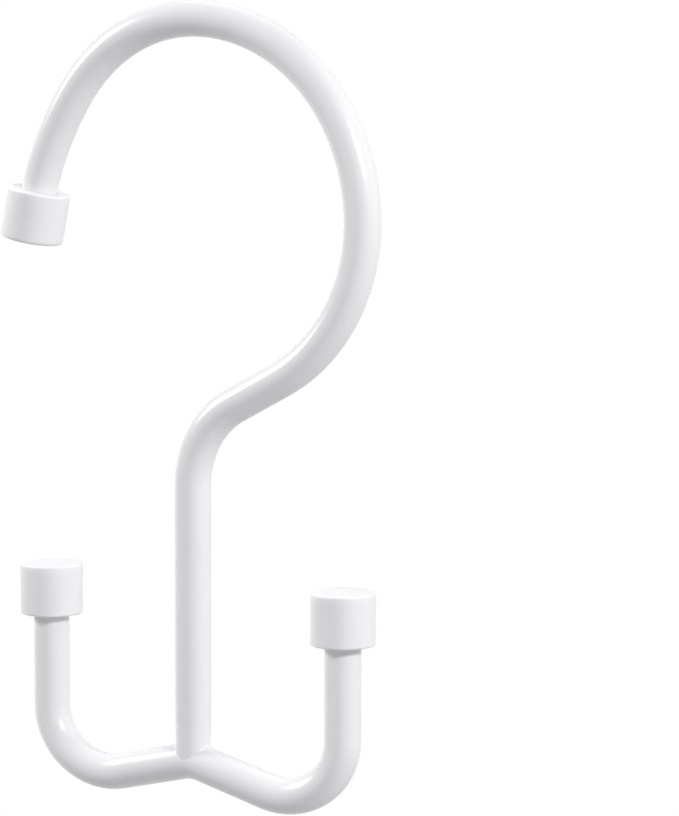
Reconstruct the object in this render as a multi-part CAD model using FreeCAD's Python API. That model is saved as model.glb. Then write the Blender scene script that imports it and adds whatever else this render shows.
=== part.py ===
import FreeCAD, Part
import math
import os

# Double shower curtain hook of coated steel rod.
# A question-mark hanger rides on the curtain rail. Its foot is welded on the middle of a cross rod
# that turns up at both ends into the curtain hooks. A moulded cap is pushed on each free rod end.
#
# Frame: millimetres, as it hangs. Z is up, both rods lie in the XZ plane, and the rail hook opens
# towards -X. The origin is the rail seat, under the crown of the rail hook.

# Rods
rod_diameter = 4.5             # steel with its coating

# Rail hook, with radii to the rod's centreline and sweeps in degrees
seat_to_kink = 89.5            # rail seat down to the middle of the cross rod
front_radius = 21.4            # crown to nose
front_sweep = 53.6
nose_radius = 39.0             # flatter stretch below the nose
nose_sweep = 19.6
tip_radius = 9.0               # last bend, which stands the rail cap more upright
tip_sweep = 5.1
back_radius = 24.4             # crown to the furthest point of the back
lower_back_radius = 21.5       # from there on under the rail, down to the straight before the neck
lower_back_sweep = 62.3
neck_radius = 11.7             # reverse bend into the shank

# Cross rod, with radii to the rod's centreline and sweeps in degrees
arm_slope = 13.9               # degrees that each arm falls away from the middle
kink_radius = 6.2              # bend in the middle, where the shank stands
hook_floor_radius = 9.4        # gentler part of a curtain hook's bend, from the arm round the bottom
hook_floor_sweep = 53.2
hook_rise_radius = 7.4         # tighter part, on up to the upright end
hook_spread = 43.7             # between the axes of the two upright ends
kink_to_cap_top = 23.1         # middle of the cross rod up to the tops of the curtain hook caps

# Weld between the hanger's foot and the cross rod
weld_radius = 0.5              # hollow of the fillet round the foot
weld_room = 1.0                # plain foot above the weld
foot_inset = 0.05              # foot slimmer than the rods, all round, so its front lies flush
foot_taper_length = 3.0        # of the shank, over which it slims to the foot

# Caps. As it hangs, the edges that face up are crisp and the edges that face down are bevelled.
cap_diameter = 7.9
cap_height = 6.4
cap_end_wall = 1.5             # solid end beyond the rod
cap_upper_bevel = 0.2
cap_lower_bevel = 0.5
cap_grip_gap = 0.02            # between bore and coating, a push fit

# Worked out from the sizes above
rod_radius = rod_diameter / 2.0
foot_radius = rod_radius - foot_inset
kink_z = -seat_to_kink
upright_x = hook_spread / 2.0
foot_shoulder_z = kink_z + rod_radius + weld_radius + weld_room
foot_top_z = foot_shoulder_z + foot_taper_length
cap_bore_depth = cap_height - cap_end_wall

touching = 0.001               # places nearer than this are the same


def point(x, z):
    """A place in the rods' plane."""
    return FreeCAD.Vector(x, 0.0, z)


def direction(angle):
    """Unit vector in the rods' plane, its angle counted from +X towards +Z, in degrees."""
    return point(math.cos(math.radians(angle)), math.sin(math.radians(angle)))


class BentRod:
    """A rod laid from a start as straights and tangent bends."""

    def __init__(self, start, heading):
        self.start = start
        self.start_heading = heading
        self.place = start
        self.heading = heading
        self.edges = []

    def straight(self, length):
        end = self.place + direction(self.heading) * length
        self.edges.append(Part.makeLine(self.place, end))
        self.place = end

    def bend(self, radius, turn):
        """A positive turn in degrees is to the left, seen with +X to the right and +Z up."""
        spoke = self.heading - math.copysign(90.0, turn)
        centre = self.place - direction(spoke) * radius
        middle = centre + direction(spoke + turn / 2.0) * radius
        end = centre + direction(spoke + turn) * radius
        self.edges.append(Part.Arc(self.place, middle, end).toShape())
        self.place = end
        self.heading += turn

    def solid(self):
        """The round rod along the whole path."""
        section = Part.makeCircle(rod_radius, self.start, direction(self.start_heading))
        return Part.Wire(self.edges).makePipe(Part.Face(Part.Wire(section)))


def nose_side():
    """From the crown over the nose to the end in the rail cap."""
    rod = BentRod(point(0.0, rod_radius), 180.0)
    rod.bend(front_radius, front_sweep)
    rod.bend(nose_radius, nose_sweep)
    rod.bend(tip_radius, tip_sweep)
    rod.straight(cap_bore_depth)
    return rod


def back_side():
    """From the crown round the back and the neck, and down the shank to its foot."""
    sweep = math.radians(lower_back_sweep)
    neck_across = neck_radius * (1.0 - math.cos(sweep))
    rod = BentRod(point(0.0, rod_radius), 0.0)
    rod.bend(back_radius, -90.0)
    rod.bend(lower_back_radius, -lower_back_sweep)
    rod.straight((rod.place.x - neck_across) / math.sin(sweep))
    rod.bend(neck_radius, lower_back_sweep)
    rod.straight(rod.place.z - foot_top_z)
    return rod


def hook_side():
    """From the middle of the cross rod out along +X and up to the end in the hook's cap."""
    slope = math.radians(arm_slope)
    rise_start = math.radians(hook_floor_sweep - arm_slope)
    kink_across = kink_radius * math.sin(slope)
    floor_across = hook_floor_radius * (math.sin(slope) + math.sin(rise_start))
    rise_across = hook_rise_radius * (1.0 - math.sin(rise_start))
    arm_across = upright_x - kink_across - floor_across - rise_across
    rod = BentRod(point(0.0, kink_z), 0.0)
    rod.bend(kink_radius, -arm_slope)
    rod.straight(arm_across / math.cos(slope))
    rod.bend(hook_floor_radius, hook_floor_sweep)
    rod.bend(hook_rise_radius, arm_slope + 90.0 - hook_floor_sweep)
    rod.straight(kink_z + kink_to_cap_top - cap_end_wall - rod.place.z)
    return rod


def mirrored(shape):
    """The same shape on the other side of the shank."""
    return shape.mirror(point(0.0, 0.0), FreeCAD.Vector(1.0, 0.0, 0.0))


def cross_rod():
    """Both curtain hooks and the arms between them, one bent rod."""
    half = hook_side().solid()
    return half.fuse(mirrored(half)).removeSplitter()


def welded_foot(cross):
    """The shank's foot with the weld round it, cut to sit on the cross rod."""
    down = direction(-90.0)
    taper = Part.makeCone(rod_radius, foot_radius, foot_taper_length, point(0.0, foot_top_z), down)
    plain = Part.makeCylinder(foot_radius, foot_shoulder_z - kink_z, point(0.0, foot_shoulder_z), down)
    joined = cross.fuse(taper.fuse(plain))
    seam = [edge for edge in joined.Edges if is_weld_seam(edge)]
    return joined.makeFillet(weld_radius, seam).cut(cross)


def is_weld_seam(edge):
    """True for an edge where the foot's round side meets the cross rod."""
    ends = [vertex.Point for vertex in edge.Vertexes]
    middle = edge.valueAt((edge.FirstParameter + edge.LastParameter) / 2.0)
    on_foot = all(abs(math.hypot(p.x, p.y) - foot_radius) < touching for p in ends + [middle])
    return on_foot and edge.BoundBox.ZMax < foot_shoulder_z - touching


def hanger_rod(cross):
    """Rail hook, neck, shank and welded foot."""
    rail_hook = nose_side().solid().fuse(back_side().solid())
    return rail_hook.fuse(welded_foot(cross)).removeSplitter()


def cap(end_bevel, rim_bevel):
    """A push-on cap with its mouth at the origin and its closed end up."""
    body = Part.makeCylinder(cap_diameter / 2.0, cap_height)
    for height, bevel in ((cap_height, end_bevel), (0.0, rim_bevel)):
        rim = [edge for edge in body.Edges if edge.CenterOfMass.isEqual(point(0.0, height), touching)]
        body = body.makeChamfer(bevel, rim)
    return body.cut(Part.makeCylinder(rod_radius + cap_grip_gap, cap_bore_depth))


def pushed_on(shape, rod):
    """A cap moved home on the far end of a rod, its bore's floor on the rod's end."""
    along = direction(rod.heading)
    shape.Placement = FreeCAD.Placement(
        rod.place - along * cap_bore_depth,
        FreeCAD.Rotation(FreeCAD.Vector(0.0, 0.0, 1.0), along),
    )
    return shape


def build():
    cross = cross_rod()
    hook_cap = pushed_on(cap(cap_upper_bevel, cap_lower_bevel), hook_side())
    return {
        "hanger_rod": hanger_rod(cross),
        "cross_rod": cross,
        "rail_cap": pushed_on(cap(cap_lower_bevel, cap_upper_bevel), nose_side()),
        "right_hook_cap": hook_cap,
        "left_hook_cap": mirrored(hook_cap),
    }


os.makedirs("parts", exist_ok=True)
for name, shape in build().items():
    shape.exportStep("parts/" + name + ".step")
    print(name, "solids", len(shape.Solids), "valid", shape.isValid(), "volume", round(shape.Volume, 2))
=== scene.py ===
import math

import bpy
import numpy as np
from mathutils import Euler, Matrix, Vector


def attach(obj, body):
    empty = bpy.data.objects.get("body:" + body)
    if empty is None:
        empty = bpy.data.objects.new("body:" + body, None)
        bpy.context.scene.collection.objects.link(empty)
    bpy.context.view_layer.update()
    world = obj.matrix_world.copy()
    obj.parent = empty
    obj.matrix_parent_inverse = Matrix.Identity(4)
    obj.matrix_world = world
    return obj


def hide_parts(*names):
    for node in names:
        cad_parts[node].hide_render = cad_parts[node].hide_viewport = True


# Double shower curtain hook, as it hangs.
# The frame is metres, origin at the rail seat under the crown, +Z up, both rods in the XZ plane.
# Sizes in the dictionaries are in mm.

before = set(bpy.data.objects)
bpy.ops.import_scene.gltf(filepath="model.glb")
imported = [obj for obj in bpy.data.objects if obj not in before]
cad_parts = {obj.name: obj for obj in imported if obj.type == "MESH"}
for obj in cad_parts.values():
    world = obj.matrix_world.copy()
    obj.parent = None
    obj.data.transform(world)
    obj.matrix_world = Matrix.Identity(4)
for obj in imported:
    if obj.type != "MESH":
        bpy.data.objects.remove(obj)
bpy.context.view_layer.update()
mm = 0.001
scene = bpy.context.scene
print("frame loaded:", ", ".join(sorted(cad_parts)))


# camera

photoView = {
    "place": (224.12, -325.62, -5.15),
    "turn": (84.191, -0.169, 31.939),       # degrees about X, Y, Z
    "lens": 142.34,
    "sensor": 36.0,                         # long side
    "near": 10.0,
    "far": 20000.0,
}


def makeCamera():
    data = bpy.data.cameras.new("photoCamera")
    data.lens = photoView["lens"]
    data.sensor_width = photoView["sensor"]
    data.clip_start = photoView["near"] * mm
    data.clip_end = photoView["far"] * mm
    photoCamera = bpy.data.objects.new("photoCamera", data)
    photoCamera.location = Vector(photoView["place"]) * mm
    photoCamera.rotation_euler = Euler([math.radians(a) for a in photoView["turn"]])
    scene.collection.objects.link(photoCamera)
    return photoCamera


camera = makeCamera()
bpy.context.scene.camera = camera
print("camera set")


# surfaces on grids

def ringFaces(points, count, around):
    # Quads between each ring and the next, and a fan over each end that meets in one of the last two
    # points. All are turned outwards by the sign of the volume that they close in.
    ring, j = np.meshgrid(np.arange(count - 1) * around, np.arange(around), indexing="ij")
    ring, j = ring.ravel(), j.ravel()
    k = (j + 1) % around
    quads = np.stack([ring + j, ring + k, ring + around + k, ring + around + j], 1)
    a = np.arange(around)
    b = (a + 1) % around
    lastRing = (count - 1) * around
    startFan = np.stack([np.full(around, count * around), b, a], 1)
    endFan = np.stack([np.full(around, count * around + 1), lastRing + a, lastRing + b], 1)
    corners = points[np.concatenate([quads[:, :3], quads[:, [0, 2, 3]], startFan, endFan])]
    volume = (corners[:, 0] * np.cross(corners[:, 1], corners[:, 2])).sum()
    faces = quads.tolist() + startFan.tolist() + endFan.tolist()
    return faces if volume > 0 else [face[::-1] for face in faces]


def pieceFromRings(name, rings, nodes, creases=()):
    # rings is (ring, point round, 3) in mm, each ring closed on itself. The fans over the first and the
    # last ring meet in their mean points. The shading breaks along the rings numbered in creases.
    count, around = rings.shape[:2]
    points = np.concatenate([rings.reshape(-1, 3), rings[:1].mean(1), rings[-1:].mean(1)]) * mm
    faces = ringFaces(points, count, around)
    mesh = bpy.data.meshes.new(name)
    mesh.from_pydata(points.tolist(), [], faces)
    mesh.polygons.foreach_set("use_smooth", np.ones(len(faces), bool))
    mesh.update()
    ends = np.empty(2 * len(mesh.edges), np.int32)
    mesh.edges.foreach_get("vertices", ends)
    ringOf = ends.reshape(-1, 2) // around
    alongRing = ringOf[:, 0] == ringOf[:, 1]
    mesh.edges.foreach_set("use_edge_sharp", alongRing & np.isin(ringOf[:, 0], creases))
    piece = bpy.data.objects.new(name, mesh)
    scene.collection.objects.link(piece)
    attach(piece, "root")
    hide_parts(*nodes)
    print("made", name, len(faces), "faces")
    return piece


def bentPath(start, heading, runs, step=0.3):
    # The path's heading changes evenly along each run, and its place is the running sum of short steps
    # along the heading at their middles. runs are (length, turn in degrees); returns places and headings.
    lengths = np.array([run[0] for run in runs])
    turns = np.array([run[1] for run in runs])
    ends = np.concatenate([[0.0], np.cumsum(lengths)])
    headings = heading + np.concatenate([[0.0], np.cumsum(turns)])
    fine = [np.linspace(a, b, max(2, math.ceil((b - a) / step) + 1))[:-1] for a, b in zip(ends, ends[1:])]
    along = np.concatenate(fine + [ends[-1:]])
    angle = np.radians(np.interp(along, ends, headings))
    middle = np.radians(np.interp((along[1:] + along[:-1]) / 2, ends, headings))
    bow = np.sinc((angle[1:] - angle[:-1]) / (2 * np.pi))      # chord over arc
    steps = (np.diff(along) * bow)[:, None] * np.stack([np.cos(middle), np.sin(middle)], 1)
    places = np.array(start) + np.concatenate([[[0.0, 0.0]], np.cumsum(steps, 0)])
    return places, angle


def tubeRings(places, angle, radius, around):
    # A circle carried along the path: its plane stands square to the heading, one of its axes is Y.
    turn = np.linspace(0.0, 2 * np.pi, around, endpoint=False)
    sideX = -np.sin(angle)[:, None] * np.cos(turn)
    sideZ = np.cos(angle)[:, None] * np.cos(turn)
    sideY = np.broadcast_to(np.sin(turn), sideX.shape)
    size = np.broadcast_to(radius, angle.shape)[:, None]
    return np.stack([
        places[:, :1] + size * sideX,
        size * sideY,
        places[:, 1:] + size * sideZ,
    ], 2)


def arc(radius, turn):
    # one bend as a run: its length is the radius times the turn, which is in degrees
    return radius * math.radians(abs(turn)), turn


# rods

rod = {
    "radius": 2.25,
    "around": 72,              # points round
    "endRing": 0.9,            # share of the radius at which a ring keeps the cut end's shading flat
}

crossRod = {
    "kinkZ": -89.5,            # middle of the rod under the shank
    "kinkRadius": 6.2,
    "armSlope": 13.9,          # degrees
    "hookFloor": (9.4, 53.2),  # radius in mm and turn in degrees
    "hookRise": 7.4,
    "hookSpread": 43.7,        # between the upright ends
    "rodEnd": 21.6,            # ends of the rod above the kink, inside the caps
}

railHook = {
    "front": (21.4, 53.6),     # radius in mm and turn in degrees
    "nose": (39.0, 19.6),
    "tip": (9.0, 5.1),
    "capDepth": 4.9,           # straight in the rail cap
    "back": (24.4, 90.0),
    "lowerBack": (21.5, 62.3),
    "neck": 11.7,
}

weld = {
    "hollow": 0.5,             # radius of the fillet
    "steps": 14,               # rings over it
    "footRadius": 2.2,
    "plainFoot": 1.0,          # above the weld
    "taper": 3.0,              # above the plain foot, where the shank slims to it
    "lastRing": 0.2,           # of the shank, above the weld
    "seatRings": 7,            # under the foot
}


def crossArm():
    # Middle of the cross rod out to the end in the right hook's cap. The arm is as long as the spread
    # leaves room beside the bends, and the upright end rises as far as it still has to.
    fall = crossRod["armSlope"]
    floorRadius, floorTurn = crossRod["hookFloor"]
    slope, rise = math.radians(fall), math.radians(floorTurn - fall)
    bends = (crossRod["kinkRadius"] * math.sin(slope)
             + floorRadius * (math.sin(slope) + math.sin(rise))
             + crossRod["hookRise"] * (1 - math.sin(rise)))
    arm = (crossRod["hookSpread"] / 2 - bends) / math.cos(slope)
    start = (0.0, crossRod["kinkZ"])
    runs = [
        arc(crossRod["kinkRadius"], -fall),
        (arm, 0.0),
        arc(floorRadius, floorTurn),
        arc(crossRod["hookRise"], 90.0 + fall - floorTurn),
    ]
    places, _ = bentPath(start, 0.0, runs)
    upright = crossRod["kinkZ"] + crossRod["rodEnd"] - places[-1, 1]
    return bentPath(start, 0.0, runs + [(upright, 0.0)])


def noseSide():
    # crown over the nose to the end in the rail cap
    return bentPath((0.0, rod["radius"]), 180.0, [
        arc(*railHook["front"]),
        arc(*railHook["nose"]),
        arc(*railHook["tip"]),
        (railHook["capDepth"], 0.0),
    ])


def backSide(footZ):
    # Crown round the back and the neck and down the shank. The slant between back and neck is as long as
    # it takes to bring the shank under the crown.
    backRadius, backTurn = railHook["back"]
    lowerRadius, lowerTurn = railHook["lowerBack"]
    start = (0.0, rod["radius"])
    runs = [arc(backRadius, -backTurn), arc(lowerRadius, -lowerTurn)]
    places, _ = bentPath(start, 0.0, runs)
    neckAcross = railHook["neck"] * (1 - math.cos(math.radians(lowerTurn)))
    slant = (places[-1, 0] - neckAcross) / math.sin(math.radians(lowerTurn))
    runs += [(slant, 0.0), arc(railHook["neck"], lowerTurn)]
    places, _ = bentPath(start, 0.0, runs)
    return bentPath(start, 0.0, runs + [(places[-1, 1] - footZ, 0.0)])


def hangerRadius(places):
    # The rod's radius, which eases down to the foot's over the taper above the plain foot.
    taperEnd = crossRod["kinkZ"] + rod["radius"] + weld["hollow"] + weld["plainFoot"]
    share = np.clip((places[:, 1] - taperEnd) / weld["taper"], 0, 1)
    ease = share * share * (3 - 2 * share)
    return weld["footRadius"] + (rod["radius"] - weld["footRadius"]) * ease


def crossRodTop(x, y, reach):
    # Height, and unit direction from the cross rod's centreline, of the surface at distance reach from
    # that line, over the place x, y: over the bend it is a ring round the bend's centre, and over an arm
    # it is a cylinder that falls with the arm.
    slope = math.radians(crossRod["armSlope"])
    bend = crossRod["kinkRadius"]
    bendZ = crossRod["kinkZ"] - bend
    flat = np.sqrt(np.maximum(reach ** 2 - y ** 2, 0.0))
    overBend = np.abs(x) < (bend + flat) * math.sin(slope)
    ring = np.sqrt(np.maximum((bend + flat) ** 2 - x ** 2, 0.0))
    arm = (bend + flat - np.abs(x) * math.sin(slope)) / math.cos(slope)
    z = bendZ + np.where(overBend, ring, arm)
    lean = np.where(overBend, np.arctan2(x, ring), np.sign(x) * slope)
    away = np.stack([flat * np.sin(lean), y, flat * np.cos(lean)], -1) / reach
    return z, away


def weldRings(around):
    # The hollow of a ball that rolls round the foot: its centre keeps the ball's radius from the foot and
    # from the cross rod, and each ring turns part of the way from one touching point to the other.
    turn = np.linspace(0.0, 2 * np.pi, around, endpoint=False)
    ball = weld["hollow"]
    out = np.stack([np.cos(turn), np.sin(turn), 0 * turn], -1)
    orbit = (weld["footRadius"] + ball) * out
    z, away = crossRodTop(orbit[:, 0], orbit[:, 1], rod["radius"] + ball)
    centre = orbit + np.stack([0 * z, 0 * z, z], -1)
    fromFoot, fromCross = -out, -away
    between = np.arccos((fromFoot * fromCross).sum(-1))[None, :, None]
    share = np.linspace(0.0, 1.0, weld["steps"])[:, None, None]
    swing = np.sin((1 - share) * between) * fromFoot + np.sin(share * between) * fromCross
    hollow = centre + ball * swing / np.sin(between)
    # the seat of the foot, on the cross rod's own surface
    shrink = np.linspace(1.0, 0.0, weld["seatRings"] + 2)[1:-1, None]
    seatX, seatY = hollow[-1, :, 0] * shrink, hollow[-1, :, 1] * shrink
    seatZ, _ = crossRodTop(seatX, seatY, rod["radius"])
    return np.concatenate([hollow, np.stack([seatX, seatY, seatZ], -1)])


def cutEnd(rings):
    # one more ring in the plane of the last, close inside it
    centre = rings[-1].mean(0)
    return np.concatenate([rings, [centre + (rings[-1] - centre) * rod["endRing"]]])


def makeHanger():
    # The path from the nose's end up to the crown, over it and down to the foot, as one tube that ends in
    # the weld.
    footZ = crossRod["kinkZ"] + rod["radius"] + weld["hollow"] + weld["lastRing"]
    nosePlaces, noseAngle = noseSide()
    backPlaces, backAngle = backSide(footZ)
    places = np.concatenate([nosePlaces[:0:-1], backPlaces])
    angle = np.concatenate([noseAngle[:0:-1] - np.pi, backAngle])
    rings = tubeRings(places, angle, hangerRadius(places), rod["around"])
    # the shank heads down, so its rings start on +X as the weld's do, and run the same way round
    rings = np.concatenate([cutEnd(rings[::-1])[::-1], weldRings(rod["around"])])
    weldEdge = len(rings) - weld["seatRings"] - 1
    return pieceFromRings("hangerRod", rings, ["hanger_rod"], [weldEdge])


def makeCrossRod():
    # the arm's path with its mirror image before it, as one tube
    places, angle = crossArm()
    both = np.concatenate([places[:0:-1] * (-1.0, 1.0), places])
    turned = np.concatenate([-angle[:0:-1], angle])
    rings = tubeRings(both, turned, rod["radius"], rod["around"])
    rings = cutEnd(cutEnd(rings)[::-1])
    return pieceFromRings("crossRod", rings, ["cross_rod"])


hangerRod = makeHanger()
crossRodPiece = makeCrossRod()


# caps

capShape = {
    "radius": 3.95,
    "height": 6.4,
    "boreRadius": 2.27,
    "boreDepth": 4.9,
    "crisp": 0.2,          # rounding of a closed end that faces up as it hangs
    "soft": 0.45,          # and of one that faces down
    "rim": 0.25,           # rounding of the mouth's outer edge
    "mouth": 0.12,         # and of its inner edge
    "keep": 0.06,          # narrow bands beside the roundings hold the flats flat
    "endRings": (0.6, 1.8),  # radii of plain rings on the closed end
    "floorRing": 0.5,      # radius of the last ring on the bore's floor
    "around": 96,          # points round
}


def corner(r, z, size, fromAngle, toAngle, steps=9):
    # quarter of a circle about r, z
    a = np.radians(np.linspace(fromAngle, toAngle, steps))
    return np.stack([r + size * np.cos(a), z + size * np.sin(a)], 1)


def capProfile(endRound):
    # From the middle of the closed end over the outside to the mouth, and up the bore to its floor.
    c = capShape
    wall, top, rim, keep = c["radius"], c["height"], c["rim"], c["keep"]
    bore, depth, mouth = c["boreRadius"], c["boreDepth"], c["mouth"]
    bands = [
        [[r, top] for r in (*c["endRings"], wall - endRound - keep)],
        corner(wall - endRound, top - endRound, endRound, 90, 0),
        [[wall, z] for z in (top - endRound - keep, top / 2, rim + keep)],
        corner(wall - rim, rim, rim, 0, -90),
        [[wall - rim - keep, 0.0], [bore + mouth + keep, 0.0]],
        corner(bore + mouth, mouth, mouth, -90, -180),
        [[bore, mouth + keep], [bore, depth]],
        [[bore - keep, depth], [c["floorRing"], depth]],
    ]
    return np.concatenate([np.array(band) for band in bands])


def makeCap(name, node, place, heading, endRound):
    # The profile turned round the rod's heading, with the bore's floor at the place in the rods' plane.
    profile = capProfile(endRound)
    turn = np.linspace(0.0, 2 * np.pi, capShape["around"], endpoint=False)
    along = np.array([math.cos(heading), 0.0, math.sin(heading)])
    side = np.array([-math.sin(heading), 0.0, math.cos(heading)])
    spoke = np.cos(turn)[:, None] * side + np.sin(turn)[:, None] * np.array([0.0, 1.0, 0.0])
    mouthAt = np.array([place[0], 0.0, place[1]]) - along * capShape["boreDepth"]
    rings = mouthAt + profile[:, 1, None, None] * along + profile[:, 0, None, None] * spoke
    return pieceFromRings(name, rings, [node])


armPlaces, armAngle = crossArm()
tipPlaces, tipAngle = noseSide()
leftEnd = armPlaces[-1] * (-1.0, 1.0)
caps = [
    makeCap("rightHookCap", "right_hook_cap", armPlaces[-1], armAngle[-1], capShape["crisp"]),
    makeCap("leftHookCap", "left_hook_cap", leftEnd, armAngle[-1], capShape["crisp"]),
    makeCap("railCap", "rail_cap", tipPlaces[-1], tipAngle[-1], capShape["soft"]),
]


# materials

def linear(hexColour):
    # sRGB to linear, with full cover
    c = np.array([int(hexColour[i:i + 2], 16) for i in (1, 3, 5)]) / 255.0
    c = np.where(c <= 0.04045, c / 12.92, ((c + 0.055) / 1.055) ** 2.4)
    return (*c, 1.0)


def addNode(tree, kind, settings=None, links=None):
    # one node with its settings, sockets by name or number, and its links from (node, socket)
    node = tree.nodes.new(kind)
    for name, value in (settings or {}).items():
        if isinstance(name, str) and hasattr(node, name):
            setattr(node, name, value)
        else:
            node.inputs[name].default_value = value
    for name, (source, socket) in (links or {}).items():
        tree.links.new(source.outputs[socket], node.inputs[name])
    return node


def makeSkin(name, look):
    # A cloudy tint between two shades, with a fine relief. The gloss varies with one of the two patterns.
    material = bpy.data.materials.new(name)
    material.use_nodes = True
    tree = material.node_tree
    shader = tree.nodes["Principled BSDF"]
    shader.inputs["IOR"].default_value = look["ior"]
    place = addNode(tree, "ShaderNodeTexCoord")
    noise = {
        pattern: addNode(tree, "ShaderNodeTexNoise", {
            "Scale": 1 / (look[pattern + "Size"] * mm),
            "Detail": look[pattern + "Detail"],
        }, {"Vector": (place, "Object")})
        for pattern in ("cloud", "relief")
    }
    tint = addNode(tree, "ShaderNodeMix", {
        "data_type": "RGBA",
        6: linear(look["shade"]),
        7: linear(look["cloudShade"]),
    }, {0: (noise["cloud"], "Fac")})
    gloss = addNode(tree, "ShaderNodeMapRange", {
        "To Min": look["roughness"][0],
        "To Max": look["roughness"][1],
    }, {"Value": (noise[look["glossFrom"]], "Fac")})
    bump = addNode(tree, "ShaderNodeBump", {"Distance": look["reliefDepth"] * mm, "Strength": 1.0},
                   {"Height": (noise["relief"], "Fac")})
    tree.links.new(tint.outputs[2], shader.inputs["Base Color"])
    tree.links.new(gloss.outputs["Result"], shader.inputs["Roughness"])
    tree.links.new(bump.outputs["Normal"], shader.inputs["Normal"])
    return material


powderCoat = {
    "shade": "#efeff1",
    "cloudShade": "#ebebee",    # where the coat lies a little thinner
    "cloudSize": 9.0,
    "cloudDetail": 2.0,
    "reliefSize": 1.4,          # from crest to crest of the orange peel
    "reliefDetail": 1.0,
    "reliefDepth": 0.0016,
    "roughness": (0.22, 0.27),
    "glossFrom": "cloud",
    "ior": 1.5,
}


def makePowderCoat():
    # White polyester powder coat, sprayed on the welded rods and baked. It flows into one smooth glossy
    # skin over rod and weld, with a faint long orange peel, so highlights are soft-edged and near white.
    return makeSkin("bakedWhitePowderCoat", powderCoat)


capPlastic = {
    "shade": "#f1f1f3",
    "cloudShade": "#ededf0",
    "cloudSize": 5.0,
    "cloudDetail": 3.0,
    "reliefSize": 0.35,         # drawn coarser than the mould's spark grain so that it can show
    "reliefDetail": 2.0,
    "reliefDepth": 0.0012,
    "roughness": (0.42, 0.5),
    "glossFrom": "relief",
    "ior": 1.51,
    "scatter": 0.6,             # how far light travels inside
}


def makeCapPlastic():
    # White polyethylene, injection moulded in a finely sparked mould: a satin skin with broad dim
    # highlights and a little milkiness under it.
    material = makeSkin("mouldedWhitePolyethylene", capPlastic)
    shader = material.node_tree.nodes["Principled BSDF"]
    shader.inputs["Subsurface Weight"].default_value = 1.0
    shader.inputs["Subsurface Radius"].default_value = (1.0, 1.0, 1.0)
    shader.inputs["Subsurface Scale"].default_value = capPlastic["scatter"] * mm
    return material


coat = makePowderCoat()
plastic = makeCapPlastic()
for piece in (hangerRod, crossRodPiece):
    piece.data.materials.append(coat)
for piece in caps:
    piece.data.materials.append(plastic)
for node, material in (("hanger_rod", coat), ("cross_rod", coat), ("rail_cap", plastic),
                       ("left_hook_cap", plastic), ("right_hook_cap", plastic)):
    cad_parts[node].data.materials.clear()
    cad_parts[node].data.materials.append(material)
print("materials set")


# studio

studio = {
    "floorZ": -700.0,           # well under the hanging hook
    "floorRadius": 1000.0,
    "floorSides": 96,
    "floorShade": "#e8e8e8",
    "whiteShare": 0.6,          # of the floor that camera and reflections see as plain white
    "fadeFrom": 300.0,          # from the floor's middle, where that share starts to rise to 1 at its edge
    "fill": 0.37,               # light from the white room all round
}


def seenAsBackground(tree):
    # 1 for rays from the camera, a reflection or glass, 0 for the light that falls on the hook
    rays = addNode(tree, "ShaderNodeLightPath")
    direct = addNode(tree, "ShaderNodeMath", {"operation": "MAXIMUM"},
                     {0: (rays, "Is Camera Ray"), 1: (rays, "Is Glossy Ray")})
    return addNode(tree, "ShaderNodeMath", {"operation": "MAXIMUM"},
                   {0: (direct, 0), 1: (rays, "Is Transmission Ray")})


def makePaper():
    # matt studio paper that fades to the white of the room towards the floor's edge
    material = bpy.data.materials.new("paleStudioPaper")
    material.use_nodes = True
    tree = material.node_tree
    tree.nodes.clear()
    place = addNode(tree, "ShaderNodeTexCoord")
    flat = addNode(tree, "ShaderNodeVectorMath", {"operation": "MULTIPLY", 1: (1.0, 1.0, 0.0)},
                   {0: (place, "Object")})
    outwards = addNode(tree, "ShaderNodeVectorMath", {"operation": "LENGTH"}, {0: (flat, 0)})
    fade = addNode(tree, "ShaderNodeMapRange", {
        "From Min": studio["fadeFrom"] * mm,
        "From Max": studio["floorRadius"] * mm,
        "To Min": studio["whiteShare"],
        "To Max": 1.0,
    }, {"Value": (outwards, "Value")})
    share = addNode(tree, "ShaderNodeMath", {"operation": "MULTIPLY"},
                    {0: (seenAsBackground(tree), 0), 1: (fade, 0)})
    paper = addNode(tree, "ShaderNodeBsdfDiffuse", {"Color": linear(studio["floorShade"])})
    white = addNode(tree, "ShaderNodeEmission", {"Color": (1, 1, 1, 1), "Strength": 1.0})
    mixed = addNode(tree, "ShaderNodeMixShader", {}, {0: (share, 0), 1: (paper, 0), 2: (white, 0)})
    addNode(tree, "ShaderNodeOutputMaterial", {}, {"Surface": (mixed, 0)})
    return material


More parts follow.
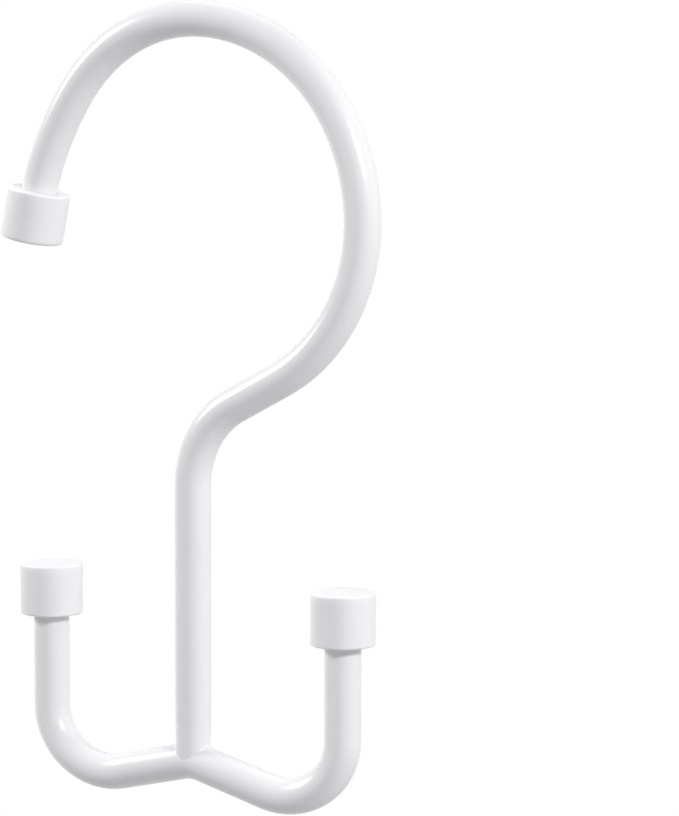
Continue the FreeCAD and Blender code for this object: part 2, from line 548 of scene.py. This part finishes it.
def makeFloor():
    # a round sheet under the hook
    turn = np.linspace(0.0, 2 * np.pi, studio["floorSides"], endpoint=False)
    rim = studio["floorRadius"] * np.stack([np.cos(turn), np.sin(turn), 0 * turn], 1)
    points = (rim + (0.0, 0.0, studio["floorZ"])) * mm
    mesh = bpy.data.meshes.new("studioFloor")
    mesh.from_pydata(points.tolist(), [], [list(range(len(points)))])
    mesh.materials.append(makePaper())
    floor = bpy.data.objects.new("studioFloor", mesh)
    scene.collection.objects.link(floor)


def makeWorld():
    world = bpy.data.worlds.new("whiteStudio")
    scene.world = world
    world.use_nodes = True
    tree = world.node_tree
    tree.nodes.clear()
    level = addNode(tree, "ShaderNodeMapRange", {
        "To Min": studio["fill"],
        "To Max": 1.0,
    }, {"Value": (seenAsBackground(tree), 0)})
    sky = addNode(tree, "ShaderNodeBackground", {"Color": (1, 1, 1, 1)}, {"Strength": (level, 0)})
    addNode(tree, "ShaderNodeOutputWorld", {}, {"Surface": (sky, 0)})


lamps = {
    # name: (degrees round from the camera to its right, degrees up, disc in mm, watts)
    "key": (40, 28, 150, 3.67),
    "left": (255, 25, 250, 4.17),
    "right": (80, 30, 1200, 1.27),
    "topBack": (180, 62, 600, 0.67),
}


def makeLamps(aimZ=-45.0, distance=800.0):
    # round soft lamps, all at one distance from the middle of the hook and turned towards it
    aim = Vector((0.0, 0.0, aimZ)) * mm
    toCamera = camera.rotation_euler.to_matrix() @ Vector((0, 0, 1))
    facing = math.atan2(toCamera.y, toCamera.x)
    for name, (across, up, disc, watts) in lamps.items():
        a, e = facing + math.radians(across), math.radians(up)
        way = Vector((math.cos(a) * math.cos(e), math.sin(a) * math.cos(e), math.sin(e)))
        data = bpy.data.lights.new(name + "Lamp", "AREA")
        data.shape = "DISK"
        data.size = disc * mm
        data.energy = watts
        lamp = bpy.data.objects.new(name + "Lamp", data)
        lamp.location = aim + way * distance * mm
        lamp.rotation_euler = way.to_track_quat("Z", "Y").to_euler()
        scene.collection.objects.link(lamp)


makeFloor()
makeWorld()
makeLamps()
scene.view_settings.view_transform = "Standard"
print("studio set")
